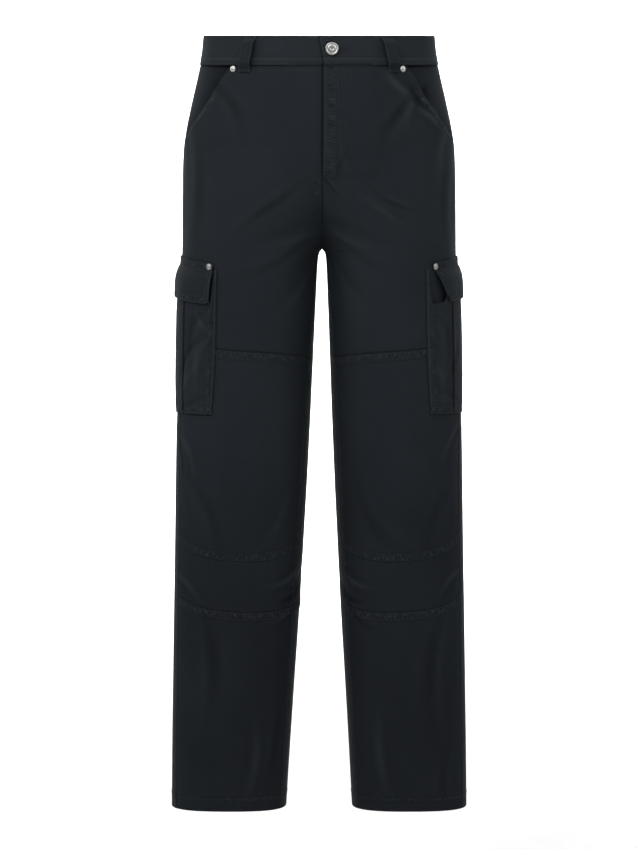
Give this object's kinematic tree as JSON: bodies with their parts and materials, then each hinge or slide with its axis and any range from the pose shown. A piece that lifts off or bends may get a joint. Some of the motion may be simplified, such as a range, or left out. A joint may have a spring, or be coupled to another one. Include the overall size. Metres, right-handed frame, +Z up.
{
  "type": "cargo trousers",
  "caption": "Straight-leg cotton cargo trousers, waist and legs open as worn, with slanted hip pockets, knee seams and a flapped cargo pocket on each thigh.",
  "frame": {"origin": "middle of the waist opening at the height of its rim, where the wearer's waist holds the trousers", "axes": "+Z up through the waist opening, +X the wearer's left, -Y the front with the fly and the button"},
  "size_m": [0.4014, 0.2578, 1.0487],
  "materials": {
    "cloth": "washed black cotton twill, matt",
    "metal": "dull nickel, plain"
  },
  "bodies": {
    "root": {"waistband": "cloth", "button": "metal", "belt_loop_front_left": "cloth", "belt_loop_front_right": "cloth", "belt_loop_back_left": "cloth", "belt_loop_back_right": "cloth", "belt_loop_centre_back": "cloth", "front_upper_left": "cloth", "front_thigh_left": "cloth", "knee_left": "cloth", "front_lower_left": "cloth", "back_seat_left": "cloth", "back_thigh_left": "cloth", "back_knee_left": "cloth", "back_shin_left": "cloth", "hip_facing_left": "cloth", "cargo_pocket_left": "cloth", "cargo_flap_left": "cloth", "rivet_hip_left": "metal", "rivet_flap_front_left": "metal", "rivet_flap_back_left": "metal", "front_upper_right": "cloth", "front_thigh_right": "cloth", "knee_right": "cloth", "front_lower_right": "cloth", "back_seat_right": "cloth", "back_thigh_right": "cloth", "back_knee_right": "cloth", "back_shin_right": "cloth", "hip_facing_right": "cloth", "cargo_pocket_right": "cloth", "cargo_flap_right": "cloth", "rivet_hip_right": "metal", "rivet_flap_front_right": "metal", "rivet_flap_back_right": "metal"}
  },
  "joints": []
}
